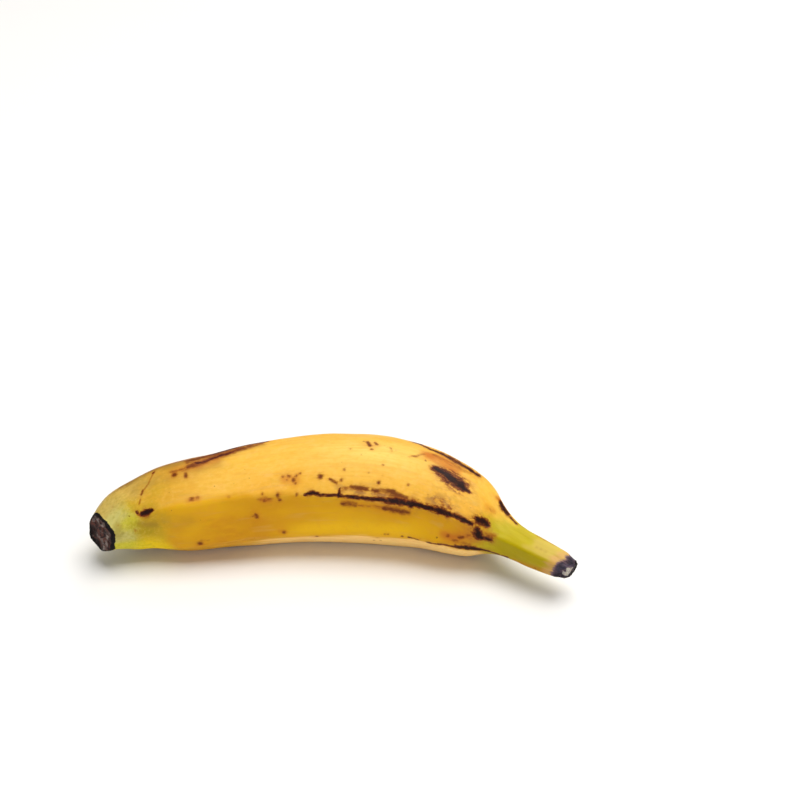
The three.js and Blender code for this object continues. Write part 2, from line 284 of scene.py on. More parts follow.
def spline(rows, t):
    """Uniform Catmull-Rom through rows, at t from 0 to 1."""
    n = len(rows)
    x = np.clip(t, 0, 1) * (n - 1)
    i = np.minimum(x.astype(int), n - 2)
    w = (x - i)[:, None]
    e = np.vstack([2 * rows[0] - rows[1], rows, 2 * rows[-1] - rows[-2]])
    p0, p1, p2, p3 = e[i], e[i + 1], e[i + 2], e[i + 3]
    v0, v1 = (p2 - p0) * 0.5, (p3 - p1) * 0.5
    return (2 * p1 - 2 * p2 + v0 + v1) * w**3 + (-3 * p1 + 3 * p2 - 2 * v0 - v1) * w**2 + v0 * w + p1


def relief(psi, ridges):
    """Relief of the five-sided section: psi (m,) and ridge angles (n, 5), in degrees, to (n, m)."""
    c = np.concatenate([ridges, ridges[:, :1] - 360], 1)
    a = np.append(RIDGE_HEIGHT, RIDGE_HEIGHT[0])
    out = np.zeros((len(ridges), len(psi)))
    for o, w in zip(ROUND_ANGLE, ROUND_WEIGHT):
        p = np.mod(psi[None] + o - c[:, 5:6], 360) + c[:, 5:6]
        h = np.zeros_like(p)
        for k in range(5):
            hi, lo = c[:, k:k + 1], c[:, k + 1:k + 2]
            u = (hi - p) / (hi - lo)
            v = -FACE_DIP[k] + ((1 - u) * a[k] + u * a[k + 1] + FACE_DIP[k]) * (2 * u - 1)**2
            h = np.where((p <= hi) & (p >= lo), v, h)
        out += w * h
    return out


def lattice(ix, iy, iz, seed):
    h = (ix * 73856093) ^ (iy * 19349663) ^ (iz * 83492791) ^ (seed * 2654435761)
    h = (h ^ (h >> 13)) * 1274126177 & 0x7FFFFFFF
    h = (h ^ (h >> 15)) * 2246822519 & 0x7FFFFFFF
    return (h & 0xFFFFF) / float(0xFFFFF) * 2 - 1


def noise(x, y, z, seed):
    """Smooth value noise from -1 to 1, the same on every run."""
    x, y, z = np.broadcast_arrays(x + 1000.0, y + 1000.0, z + 1000.0)
    ix, iy, iz = (np.floor(v).astype(np.int64) for v in (x, y, z))
    fx, fy, fz = x - ix, y - iy, z - iz
    ux, uy, uz = (f * f * f * (f * (f * 6 - 15) + 10) for f in (fx, fy, fz))
    out = 0
    for dx in (0, 1):
        for dy in (0, 1):
            for dz in (0, 1):
                w = (ux if dx else 1 - ux) * (uy if dy else 1 - uy) * (uz if dz else 1 - uz)
                out = out + w * lattice(ix + dx, iy + dy, iz + dz, seed)
    return out


def smooth(lo, hi, x):
    t = np.clip((x - lo) / (hi - lo), 0, 1)
    return t * t * (3 - 2 * t)


def bell(x, width):
    return np.exp(-(x / width)**2)


# arc length of the centre line
_t = np.linspace(0, 1, 4001)
_c = spline(STATIONS[:, :3], _t)
_s = np.append(0, np.cumsum(np.linalg.norm(np.diff(_c, axis=0), axis=1)))
LENGTH = _s[-1]

# rows: along the fruit, closer together at both ends, then the two end faces
COLUMNS = 232
stations = np.concatenate([
    np.linspace(0, 9, 27)[:-1],
    np.linspace(9, 24, 26)[:-1],
    np.linspace(24, 186, 226)[:-1],
    np.linspace(186, LENGTH - 12, 64)[:-1],
    np.linspace(LENGTH - 12, LENGTH, 38),
])
tip_profile = np.array([  # share of the section, distance past the end: rim to centre
    (1.00, 0.00), (0.99, 0.40), (0.975, 0.85), (0.955, 1.25), (0.93, 1.58), (0.90, 1.82), (0.86, 1.92),
    (0.81, 1.88), (0.755, 1.74), (0.69, 1.60), (0.62, 1.52), (0.55, 1.50), (0.48, 1.54), (0.41, 1.62),
    (0.34, 1.70), (0.27, 1.76), (0.20, 1.80), (0.13, 1.80), (0.06, 1.78)])
stem_profile = np.array([
    (1.00, 0.00), (0.985, 0.24), (0.96, 0.48), (0.925, 0.72), (0.88, 0.92), (0.83, 1.06), (0.77, 1.14),
    (0.70, 1.14), (0.62, 1.08), (0.53, 1.02), (0.43, 1.00), (0.32, 1.02), (0.21, 1.05), (0.10, 1.06)])

rows = [(0.0, -step, share) for share, step in tip_profile[::-1][:-1]]
n_tip = len(rows)
rows += [(float(a), 0.0, 1.0) for a in stations]
n_body = len(stations)
rows += [(LENGTH, step, share) for share, step in stem_profile[1:]]
row_s, row_step, row_share = (np.array(v) for v in zip(*rows))
row_t = np.interp(row_s, _s, _t)
psi = np.linspace(-90, 270, COLUMNS, endpoint=False)   # the seam runs along the underside
ang = np.radians(psi)

centre = spline(STATIONS[:, :3], row_t)
d = 1e-4
tang = spline(STATIONS[:, :3], np.minimum(row_t + d, 1)) - spline(STATIONS[:, :3], np.maximum(row_t - d, 0))
tang /= np.linalg.norm(tang, axis=1)[:, None]
up = np.array([0, 0, 1.0]) - tang * tang[:, 2:3]
up /= np.linalg.norm(up, axis=1)[:, None]
front = np.cross(tang, up)
mean_r = spline(STATIONS[:, 3:4], row_t)[:, 0]
ridge = spline(RIDGES, row_t)
angles, strength = ridge[:, :5], ridge[:, 5:6]

S = np.broadcast_to(row_s[:, None], (len(rows), COLUMNS))
PSI = np.broadcast_to(psi[None], S.shape)
SHARE = np.broadcast_to(row_share[:, None], S.shape)
R = np.broadcast_to(mean_r[:, None], S.shape)
# the peel unrolled into straight coordinates, for noise that runs along the fruit without a seam
STEP = np.where(row_step[:, None] < 0, row_step[:, None] * (1 + row_share[:, None] * np.cos(ang + math.radians(105))[None]), row_step[:, None])
FX = S + STEP
FY = R * SHARE * np.cos(ang)[None]
FZ = R * SHARE * np.sin(ang)[None]
is_tip = np.zeros(S.shape); is_tip[:n_tip] = 1
is_cut = np.zeros(S.shape); is_cut[n_tip + n_body:] = 1
is_body = 1 - is_tip - is_cut


def turn(a):
    """An angle difference brought to -180..180."""
    return np.mod(a + 180, 360) - 180


# ---------------------------------------------------------------- the marks, as values on the mesh
def paint(kind, soft, spread=1.0):
    out = np.zeros(S.shape)
    for name, power, line in MARKS:
        if name != kind:
            continue
        pts = list(line) if len(line) > 1 else [line[0], line[0]]
        value = np.zeros(S.shape)
        for (s0, a0, w0), (s1, a1, w1) in zip(pts[:-1], pts[1:]):
            reach = 4.5 * spread * max(w0, w1)
            near = (row_s > min(s0, s1) - reach) & (row_s < max(s0, s1) + reach) & (row_share >= 1)
            if not near.any():
                continue
            r = R[near] * 1.02
            x, y = S[near] - s0, np.radians(turn(PSI[near] - a0)) * r
            ex, ey = s1 - s0, np.radians(turn(a1 - a0)) * r
            k = np.clip((x * ex + y * ey) / np.maximum(ex * ex + ey * ey, 1e-9), 0, 1)
            dist = np.hypot(x - k * ex, y - k * ey)
            q = dist / ((w0 + (w1 - w0) * k) * spread)
            v = np.exp((-0.8 if soft else -0.55) * q * q)
            value[near] = np.maximum(value[near], v)
        out = np.maximum(out, power * value) if not soft else 1 - (1 - out) * (1 - power * value)
    return out


rng = np.random.default_rng(11)
for _ in range(46):
    MARKS.append(("speck", rng.uniform(0.35, 0.9), [(rng.uniform(12, 200), rng.uniform(116, 312), 0.32 + 0.5 * rng.random()**2)]))
for _ in range(12):
    s0, a0 = rng.uniform(30, 190), rng.uniform(122, 306)
    for _ in range(int(rng.integers(3, 7))):
        s1, a1 = s0 + rng.normal(0, 3.2), a0 + rng.normal(0, 6)
        MARKS.append(("speck", rng.uniform(0.5, 0.95), [(s1, a1, rng.uniform(0.3, 0.7)), (s1 + rng.normal(0, 1.0), a1 + rng.normal(0, 2), rng.uniform(0.3, 0.6))]))

INK = paint("scar", False, 1.1)
BRUISE = paint("scar", True, 2.6)
LINE = paint("line", False)
BROWN = paint("brown", False)
SPECK = paint("speck", False, 1.25)
DIRT = paint("speck", True, 2.8)
STAIN = paint("stain", True)
GREY = paint("grey", True)
SHADE = paint("shade", True)

# ---------------------------------------------------------------- relief of the peel
near_tip = 1 - smooth(6, 34, S)
near_neck = smooth(176, 204, S)
stalk = smooth(194, 210, S)
h = 0.30 * noise(FX / 36, FY / 24, FZ / 24, 3) + 0.13 * noise(FX / 15, FY / 11, FZ / 11, 5)
h = h + (0.030 + 0.07 * near_tip + 0.10 * near_neck) * noise(FX / 60, FY / 2.4, FZ / 2.4, 7)
h = h + (0.022 + 0.05 * stalk) * noise(FX / 26, FY / 1.5, FZ / 1.5, 9)
h = h + 0.03 * noise(FX / 4.5, FY / 3.5, FZ / 3.5, 11)
# a fine crest along each ridge, uneven along its length
crest = np.zeros(S.shape)
for k in range(5):
    wander = 1.1 * noise(row_s / 22, 0.0 * row_s + 7 * k, 0.0 * row_s, 20 + k)
    off = np.radians(turn(PSI - (angles[:, k] + wander)[:, None])) * R
    size = 0.13 + 0.10 * noise(row_s / 16, 0.0 * row_s + 3 * k, 0.0 * row_s + 5, 30 + k)
    crest = np.maximum(crest, (bell(off, 1.3) + 2.2 * bell(off, 3.0)) * size[:, None])
fade = smooth(2, 16, S) * (1 - 0.4 * stalk)
h = h + crest * fade
# scars are a little sunken, with a low lip; specks are tiny pits
h = h - 0.12 * smooth(0.42, 0.85, INK) + 0.04 * bell(INK - 0.3, 0.14) * (INK > 0.02)
h = h - 0.03 * smooth(0.3, 0.9, SPECK)
# the stem is fluted, and dries to folds towards its cut end
folds = np.cos(np.radians(PSI) * 9 + 2.2 * noise(FX / 9, FY / 6, FZ / 6, 13))
dry = smooth(LENGTH - 11, LENGTH - 2, S)
h = h + is_body * dry * (0.12 * folds + 0.34 * noise(FX / 4.2, FY / 2.0, FZ / 2.0, 15) + 0.12 * noise(FX / 1.3, FY / 0.9, FZ / 0.9, 16))
# the last millimetres before the blossom end draw in, and its rim is lumpy
pinch = bell(S - 2.2, 1.6) * is_body
h = h - 0.10 * pinch + is_body * (1 - smooth(0, 3.0, S)) * (0.24 * noise(FX / 1.6, FY / 1.9, FZ / 1.9, 17) + 0.22 * noise(FX / 3, FY / 5, FZ / 5, 18))
h = h * (is_body + 0.35 * (1 - is_body))

taper = 1 - smooth(LENGTH - 5.5, LENGTH + 0.3, S) * (0.16 + 0.10 * np.cos(np.radians(PSI - 110)))
rad = R * SHARE * taper * (1 + strength * (1 + 0.9 * stalk) * relief(psi, angles)) + h * np.where(is_body > 0, 1, SHARE)
radial = np.cos(ang)[None, :, None] * front[:, None] + np.sin(ang)[None, :, None] * up[:, None]
P = centre[:, None] + tang[:, None] * STEP[..., None] + rad[..., None] * radial
slant = smooth(LENGTH - 7, LENGTH, S) * (0.3 + 1.0 * SHARE * np.cos(np.radians(PSI - 115)))
P = P + tang[:, None] * slant[..., None]
# end faces: corky lumps at the blossom end, torn fibres at the cut stem
lump = 0.75 * noise(FX / 4.2, FY / 3.6, FZ / 3.6, 41) + 0.42 * noise(FX / 1.7, FY / 1.7, FZ / 1.7, 43) + 0.18 * noise(FX / 0.8, FY / 0.8, FZ / 0.8, 44)
rimless = 1 - smooth(0.80, 0.99, SHARE)
P = P - tang[:, None] * (is_tip * (0.25 + 0.75 * rimless) * lump)[..., None]
torn = 0.20 * noise(FX / 1.4, FY / 1.4, FZ / 1.4, 45) + 0.13 * noise(FX / 0.6, FY / 0.6, FZ / 0.6, 47)
P = P + tang[:, None] * (is_cut * (0.2 + 0.8 * rimless) * torn)[..., None]
P[..., 2] = np.maximum(P[..., 2], 0.0)

# ---------------------------------------------------------------- colour regions of the peel
wob = noise(FX / 11, FY / 7, FZ / 7, 51)
wob2 = noise(FX / 5, FY / 2.4, FZ / 2.4, 53)
SIDE = np.where(PSI > 180, PSI - 360, PSI)                   # angle from the front, -180..180
lowr, midr = angles[:, 2][:, None], angles[:, 1][:, None]
# the face between the middle and the lower ridge, and the underside, are a deeper mustard: partly the peel's own
# colour, partly painted shade on the lower, downward-turned side
LOWER = smooth(5, -5, (turn(PSI - midr) - 6 * (1 - smooth(55, 90, S)) + 1.5 * wob) / (1 + 1.1 * (1 - smooth(70, 112, S)))) * smooth(-150, -110, SIDE)
# lighter along the lower ridge, duller towards the blossom end
BRIGHT = bell(turn(PSI - lowr) - 5, 9) * smooth(80, 105, S) * (1 - smooth(150, 178, S))
BAND = bell(turn(PSI - midr) + 9, 7) * smooth(30, 60, S) * (1 - smooth(170, 195, S)) * (0.6 + 0.4 * noise(FX / 30, FY / 9, FZ / 9, 61))
DUSK = (1 - smooth(28, 82, S + 5 * wob)) * smooth(-70, -20, SIDE) * (1 - smooth(150, 200, PSI)) * (1 - LOWER)
# a paler strip under the lower ridge: partly paler peel, partly painted light bounced up from the floor
PALE = smooth(-1, -15, turn(PSI - lowr) + 3 * wob) * smooth(-76, -46, turn(PSI - lowr) + 4 * wob) * smooth(40, 112, S + 6 * wob) * (1 - smooth(194, 205, S))
# unripe green at both ends: round the blossom end, and along the stem
low = 1 - smooth(35, 110, SIDE + 10 * wob)
tip_green = (1 - smooth(1, 23, S - 2 * low + 3 * wob)) * (0.45 + 0.55 * low)
tip_olive = (1 - smooth(14, 46, S + 5 * wob)) * low
lime = (1 - smooth(16, 46, S + 4 * wob)) * bell(SIDE + 34, 25)
ASH = (1 - smooth(8, 46, S + 4 * wob)) * smooth(56, 84, SIDE + 8 * wob) * (1 - smooth(150, 178, PSI))
EDGE = smooth(6, 18, S) * (1 - smooth(62, 84, S)) * smooth(86, 108, PSI + 4 * wob) * (1 - smooth(117, 138, PSI + 5 * wob))
RUST = smooth(24, 60, S + 5 * wob) * (1 - smooth(68, 96, S + 5 * wob)) * smooth(-48, -22, SIDE) * (1 - smooth(8, 30, SIDE + 4 * wob))
# painted highlight: a paler yellow patch high on the upper face
PAINTED_HIGHLIGHT = bell(S - 134, 30) * bell(PSI - 80 + 4 * wob, 20)
SMUDGE = bell(S - 2.6, 2.6) * bell(SIDE - 24 + 8 * wob2, 24)
NEAR = 1 - smooth(10, 44, S + 3 * wob)
GLOW = bell(S - 9.5, 7.5) * bell(SIDE - 27 + 5 * wob, 17)
MOSS = bell(S - 19, 9) * bell(SIDE - 14 + 6 * wob, 17)
BEIGE = smooth(212, 230, S + 3 * wob2) * smooth(20, 48, SIDE) * (1 - smooth(150, 190, PSI))
neck_green = smooth(190, 216, S + 8 * low + 3 * wob) * (0.75 + 0.25 * low) * (1 - 0.9 * PALE)
GREEN = np.clip(tip_green, 0, 1)
DULL = np.clip(tip_olive, 0, 1)
LIME = np.clip(lime, 0, 1)
OLIVE = np.clip(neck_green, 0, 1)
UNDER = smooth(196, 214, S) * smooth(44, 30, SIDE + 3 * wob) * smooth(-100, -60, SIDE)
# the dark blossom end, and the dark dried end of the stem with its slanting edge
tip_edge = 0.62 * smooth(-15, 25, SIDE) * (1 - smooth(120, 165, PSI))
TIP = np.maximum(is_tip, is_body * (1 - smooth(-0.4, 0.7, S - tip_edge + 0.3 * wob2)))
edge_s = LENGTH - 5.3 - 1.2 * np.cos(np.radians(PSI + 15)) + 1.5 * bell(turn(PSI - 72), 42) + 0.8 * wob2
STEM = np.maximum(is_cut, is_body * smooth(-2.0, 2.2, S - edge_s))
SINGE = is_body * smooth(-7.5, -0.5, S - edge_s)
RIMV = SHARE + 0.16 * smooth(-0.2, 0.9, np.cos(np.radians(PSI + 140)))
BELLY = smooth(30, -40, SIDE) * smooth(-150, -110, SIDE)
# the pale torn part of the cut lies along its front edge, and the far half is charred
cut_line = np.array([(LENGTH - 1.0, 5.3, -0.7), (LENGTH + 0.3, 5.0, -0.1), (LENGTH + 1.0, 4.2, 1.2), (LENGTH + 1.1, 3.1, 2.6)])
flat_p = np.stack([FX, FY, FZ], -1)
gap = np.full(S.shape, 99.0)
for c0, c1 in zip(cut_line[:-1], cut_line[1:]):
    along_k = np.clip(((flat_p - c0) @ (c1 - c0)) / ((c1 - c0) @ (c1 - c0)), 0, 1)
    gap = np.minimum(gap, np.linalg.norm(flat_p - c0 - along_k[..., None] * (c1 - c0), axis=-1))
CUT = (S > LENGTH - 4) * (1 - smooth(0.9, 1.9, gap + 0.9 * noise(FX / 1.6, FY / 1.1, FZ / 1.1, 57)))
CHAR = is_cut * smooth(1.6, -1.2, FY + 0.8 * noise(FX / 1.4, FY / 1.4, FZ / 1.4, 59))
# pale and dark parts of the blossom end
PALE_SPOTS = is_tip * np.maximum.reduce([bell(np.hypot(FY - cy, FZ - cz), cr) for cy, cz, cr in ((-0.6, 7.4, 1.5), (5.6, 0.6, 1.5), (4.7, -3.4, 1.7), (2.8, -6.6, 1.5), (2.2, 5.8, 1.2))])
SOOT = is_tip * np.maximum.reduce([bell(np.hypot(FY - cy, FZ - cz), cr) for cy, cz, cr in ((-5.0, -1.0, 3.0), (-2.2, -5.2, 2.4), (3.6, 2.8, 1.4))])

# ---------------------------------------------------------------- the mesh
nu = len(rows)
verts = np.concatenate([
    P.reshape(-1, 3),
    [centre[0] - tang[0] * 1.78, centre[-1] + tang[-1] * 1.36]]) * MM
i, j = np.meshgrid(np.arange(nu - 1), np.arange(COLUMNS), indexing="ij")
k = (j + 1) % COLUMNS
quads = np.stack([i * COLUMNS + j, (i + 1) * COLUMNS + j, (i + 1) * COLUMNS + k, i * COLUMNS + k], -1).reshape(-1, 4)
jj = np.arange(COLUMNS)
kk = (jj + 1) % COLUMNS
first, last = nu * COLUMNS, nu * COLUMNS + 1
fan0 = np.stack([np.full(COLUMNS, first), jj, kk], -1)
fan1 = np.stack([np.full(COLUMNS, last), (nu - 1) * COLUMNS + kk, (nu - 1) * COLUMNS + jj], -1)
faces = quads.tolist() + fan0.tolist() + fan1.tolist()
mesh = bpy.data.meshes.new("banana_peel")
mesh.from_pydata(verts.tolist(), [], faces)
mesh.validate()
mesh.update()
mesh.polygons.foreach_set("use_smooth", np.ones(len(mesh.polygons), bool))


def store(name, grid, ends=(0.0, 0.0)):
    a = mesh.attributes.new(name, "FLOAT", "POINT")
    a.data.foreach_set("value", np.append(grid.reshape(-1), ends).astype(np.float32))


for name, grid, ends in (
        ("ink", INK, (0, 0)), ("bruise", BRUISE, (0, 0)), ("line", LINE, (0, 0)), ("brown", BROWN, (0, 0)), ("speck", SPECK, (0, 0)), ("dirt", DIRT, (0, 0)), ("stain", STAIN, (0, 0)),
        ("grey", GREY, (0, 0)), ("shade", SHADE, (0, 0)), ("green", GREEN, (0, 0)), ("dull", DULL, (0, 0)), ("bright", BRIGHT, (0, 0)), ("band", np.clip(BAND, 0, 1), (0, 0)), ("dusk", DUSK, (0, 0)), ("lime", LIME, (0, 0)), ("olive", OLIVE, (0, 0)),
        ("ash", ASH, (0, 0)), ("edge", EDGE, (0, 0)), ("moss", MOSS, (0, 0)), ("glow", GLOW, (0, 0)), ("rim", RIMV, (0, 0)), ("rust", RUST, (0, 0)), ("painted_highlight", PAINTED_HIGHLIGHT, (0, 0)), ("smudge", SMUDGE, (0, 0)), ("near", NEAR, (0, 0)), ("char", CHAR, (0, 0.6)), ("pale_spots", PALE_SPOTS, (0, 0)), ("soot", SOOT, (0.2, 0)), ("belly", BELLY, (0, 0)), ("beige", BEIGE, (0, 0)),
        ("lower", LOWER, (0, 0)), ("under", UNDER, (0, 0)), ("pale", PALE, (0, 0)),
        ("tip", TIP, (1, 0)), ("stem", STEM, (0, 1)), ("singe", SINGE, (0, 0)), ("cut", CUT, (0, 0))):
    store(name, grid, ends)
flat = mesh.attributes.new("flat", "FLOAT_VECTOR", "POINT")
flat.data.foreach_set("vector", np.append(np.stack([FX, FY, FZ], -1).reshape(-1), [-1.78, 0, 0, LENGTH + 1.06, 0, 0]).astype(np.float32))

# unrolled map, with its seam along the underside
uv = mesh.uv_layers.new(name="OFBake")
path = np.append(0, np.cumsum(np.linalg.norm(np.diff(P.mean(1), axis=0), axis=1) + np.abs(np.diff(row_share)) * 8))
v_row = 0.02 + 0.96 * path / path[-1]
n_quads = len(quads)
uq = np.zeros((n_quads, 4, 2))
fj = j.reshape(-1)
fi = i.reshape(-1)
uq[:, 0] = np.stack([fj / COLUMNS, v_row[fi]], -1)
uq[:, 1] = np.stack([fj / COLUMNS, v_row[fi + 1]], -1)
uq[:, 2] = np.stack([(fj + 1) / COLUMNS, v_row[fi + 1]], -1)
uq[:, 3] = np.stack([(fj + 1) / COLUMNS, v_row[fi]], -1)
t0 = np.stack([np.stack([(jj + 0.5) / COLUMNS, 0 * jj + 0.012], -1), np.stack([jj / COLUMNS, 0 * jj + v_row[0]], -1), np.stack([(jj + 1) / COLUMNS, 0 * jj + v_row[0]], -1)], 1)
t1 = np.stack([np.stack([(jj + 0.5) / COLUMNS, 0 * jj + 0.988], -1), np.stack([(jj + 1) / COLUMNS, 0 * jj + v_row[-1]], -1), np.stack([jj / COLUMNS, 0 * jj + v_row[-1]], -1)], 1)
coords = np.concatenate([uq.reshape(-1), t0.reshape(-1), t1.reshape(-1)]).astype(np.float32)
assert len(coords) == 2 * len(mesh.loops)
uv.data.foreach_set("uv", coords)

fruit = bpy.data.objects.new("banana_fruit", mesh)
bpy.context.scene.collection.objects.link(fruit)
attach(fruit, "root")
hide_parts("banana")

# ---------------------------------------------------------------- the peel's material
mat = bpy.data.materials.new("banana_peel")
mat.use_nodes = True
nt = mat.node_tree
nt.nodes.clear()
link = nt.links.new


def node(kind, **props):
    n = nt.nodes.new(kind)
    for key, value in props.items():
        setattr(n, key, value)
    return n


def put(socket, value):
    if isinstance(value, bpy.types.NodeSocket):
        link(value, socket)
    elif isinstance(value, (tuple, list)) and len(value) == 3 and socket.type == "RGBA":
        socket.default_value = (*value, 1.0)
    else:
        socket.default_value = value


def attr(name):
    return node("ShaderNodeAttribute", attribute_name=name).outputs["Fac"]


def calc(op, a, b=0.0, clamp=False):
    n = node("ShaderNodeMath", operation=op, use_clamp=clamp)
    put(n.inputs[0], a)
    put(n.inputs[1], b)
    return n.outputs[0]


def mix(fac, a, b, how="MIX"):
    n = node("ShaderNodeMix", data_type="RGBA", blend_type=how)
    put(n.inputs[0], fac)
    put(n.inputs[6], a)
    put(n.inputs[7], b)
    return n.outputs[2]


def ramp(x, lo, hi, to_lo=0.0, to_hi=1.0):
    n = node("ShaderNodeMapRange", interpolation_type="SMOOTHSTEP")
    put(n.inputs[0], x)
    for index, value in ((1, lo), (2, hi), (3, to_lo), (4, to_hi)):
        n.inputs[index].default_value = value
    return n.outputs[0]


FLAT = node("ShaderNodeAttribute", attribute_name="flat").outputs["Vector"]
_xyz = node("ShaderNodeSeparateXYZ")
link(FLAT, _xyz.inputs[0])
along = _xyz.outputs[0]


def grain(sx, sy, detail=3.0, rough=0.5, shift=0.0):
    """Noise in the unrolled coordinates: sx millimetres along the fruit, sy around it."""
    m = node("ShaderNodeVectorMath", operation="MULTIPLY_ADD")
    link(FLAT, m.inputs[0])
    m.inputs[1].default_value = (1 / sx, 1 / sy, 1 / sy)
    m.inputs[2].default_value = (shift, shift * 1.7, shift * 0.6)
    n = node("ShaderNodeTexNoise", noise_dimensions="3D")
    link(m.outputs[0], n.inputs["Vector"])
    n.inputs["Scale"].default_value = 1.0
    n.inputs["Detail"].default_value = detail
    n.inputs["Roughness"].default_value = rough
    return n.outputs["Fac"]


def wide(n):
    """Noise stretched to the full range 0..1."""
    return ramp(n, 0.27, 0.73)


def ragged(mask, n, amount, lo, hi):
    """A mask whose edge is broken up by noise."""
    return ramp(calc("ADD", mask, calc("MULTIPLY", calc("SUBTRACT", n, 0.5), amount)), lo, hi)


broad = grain(46, 20, 3, 0.5, 3.1)
mid = grain(9, 5, 4, 0.55, 7.7)
fibre = grain(16, 0.75, 3, 0.5, 1.3)
streak = grain(30, 2.2, 3, 0.5, 11.9)
edge = wide(grain(1.9, 0.8, 4, 0.65, 5.5))
blot = wide(grain(5.0, 2.0, 4, 0.6, 15.5))
fine = grain(0.7, 0.5, 3, 0.6, 9.1)
pore = grain(0.42, 0.34, 2, 0.5, 2.7)


def push(mask, n, amount):
    """A mask raised and lowered by noise, so that its edge wanders."""
    return calc("ADD", mask, calc("MULTIPLY", calc("SUBTRACT", n, 0.5), amount))


# ripe yellow above, deeper mustard below (partly the peel's colour, partly painted shade), in broad clouds and fine
# lengthwise streaks
col = mix(ramp(broad, 0.36, 0.66), (0.8148, 0.4564, 0.0578), (0.7758, 0.4020, 0.0369))
deep_and_shaded = mix(ramp(broad, 0.40, 0.64), (0.6939, 0.3663, 0.0024), (0.6172, 0.3005, 0.0018))
col = mix(ramp(push(attr("lower"), streak, 0.5), 0.2, 0.8), col, deep_and_shaded)
col = mix(ramp(streak, 0.45, 0.72, 0.0, 0.30), col, (0.6445, 0.2961, 0.0212))
col = mix(calc("MULTIPLY", ramp(fibre, 0.44, 0.78, 0.0, 0.14), calc("SUBTRACT", 1.0, attr("lower"))), col, (0.8714, 0.5520, 0.1274))
col = mix(ramp(mid, 0.50, 0.72, 0.0, 0.30), col, (0.6724, 0.3050, 0.0160))
col = mix(calc("MULTIPLY", ramp(grain(6, 4, 3, 0.6, 31.0), 0.50, 0.72, 0.0, 0.30), calc("SUBTRACT", 1.0, attr("lower"))), col, (0.8714, 0.4910, 0.1274))
col = mix(ramp(grain(14, 7, 3, 0.6, 37.0), 0.54, 0.74, 0.0, 0.26), col, (0.6172, 0.3916, 0.0343))
col = mix(calc("MULTIPLY", attr("band"), 0.55), col, (0.5271, 0.2384, 0.0037))
col = mix(calc("MULTIPLY", attr("bright"), 0.75), col, (0.8228, 0.4793, 0.0060))
col = mix(calc("MULTIPLY", attr("rust"), ramp(mid, 0.3, 0.7, 0.25, 0.6)), col, (0.4910, 0.1812, 0.0012))
# painted highlight: paler yellow high on the upper face
col = mix(calc("MULTIPLY", attr("painted_highlight"), ramp(streak, 0.35, 0.65, 0.7, 0.35)), col, (0.8714, 0.6240, 0.1620))
col = mix(calc("MULTIPLY", attr("dusk"), ramp(mid, 0.3, 0.7, 0.45, 0.75)), col, (0.6038, 0.3231, 0.0252))
mottle = wide(grain(2.8, 1.9, 3, 0.6, 51.0))
col = mix(ramp(mottle, 0.55, 1.0, 0.0, 0.20), col, (0.6724, 0.3050, 0.0160))
col = mix(calc("MULTIPLY", ramp(mottle, 0.0, 0.45, 0.16, 0.0), calc("SUBTRACT", 1.0, attr("lower"))), col, (0.8714, 0.5520, 0.1274))
# paler strip below the lower ridge (partly paler peel, partly painted floor bounce light), and unripe green at both
# ends
col = mix(calc("MULTIPLY", ramp(push(attr("pale"), wide(streak), 0.5), 0.10, 0.95), 0.86), col, mix(ramp(wide(fibre), 0.40, 1.0, 0.0, 0.40), (1.0000, 0.6867, 0.2542), (0.8550, 0.3813, 0.1119)))
col = mix(calc("MULTIPLY", ramp(push(attr("dull"), streak, 0.35), 0.05, 0.9), 0.85), col, (0.4910, 0.3231, 0.0130))
col = mix(ramp(push(attr("green"), streak, 0.35), 0.08, 0.80), col, mix(ramp(push(along, blot, 6.0), 4.0, 20.0), (0.5271, 0.4678, 0.1384), (0.5149, 0.4233, 0.0252)))
col = mix(calc("MULTIPLY", ramp(push(attr("glow"), wide(streak), 0.3), 0.1, 0.9), 0.70), col, (0.5271, 0.4564, 0.0052))
col = mix(calc("MULTIPLY", ramp(push(attr("moss"), blot, 0.5), 0.1, 1.0), 0.66), col, (0.3515, 0.2542, 0.0024))
col = mix(calc("MULTIPLY", ramp(push(attr("smudge"), blot, 0.5), 0.1, 1.0), 0.6), col, (0.2874, 0.2232, 0.0252))
col = mix(calc("MULTIPLY", ramp(push(attr("lime"), streak, 0.3), 0.1, 0.8), 0.8), col, mix(ramp(push(along, wide(streak), 5.0), 1.0, 25.0), (0.5776, 0.5271, 0.0070), (0.8550, 0.6038, 0.0012)))
col = mix(calc("MULTIPLY", ramp(push(attr("ash"), wide(mid), 0.3), 0.1, 0.9), 0.62), col, (0.5149, 0.3712, 0.0931))
col = mix(calc("MULTIPLY", ramp(push(attr("edge"), wide(streak), 0.4), 0.05, 0.9), ramp(blot, 0.1, 0.9, 0.55, 0.95)), col, (0.2307, 0.1070, 0.0319))
dapple = wide(grain(1.9, 1.3, 3, 0.6, 63.0))
col = mix(calc("MULTIPLY", attr("near"), ramp(dapple, 0.50, 1.0, 0.0, 0.30)), col, (0.3050, 0.2086, 0.0212))
col = mix(calc("MULTIPLY", attr("near"), ramp(dapple, 0.0, 0.40, 0.22, 0.0)), col, (0.7605, 0.5776, 0.1559))
stalk_col = mix(ramp(streak, 0.35, 0.65), (0.5029, 0.4020, 0.0130), (0.4621, 0.3613, 0.0060))
stalk_col = mix(ramp(push(attr("under"), streak, 0.5), 0.15, 0.85), stalk_col, (0.4125, 0.3140, 0.0006))
col = mix(ramp(push(attr("olive"), streak, 0.4), 0.08, 0.85), col, stalk_col)
col = mix(calc("MULTIPLY", ramp(push(attr("beige"), wide(streak), 0.4), 0.1, 0.95), 0.55), col, (0.6584, 0.4678, 0.1170))
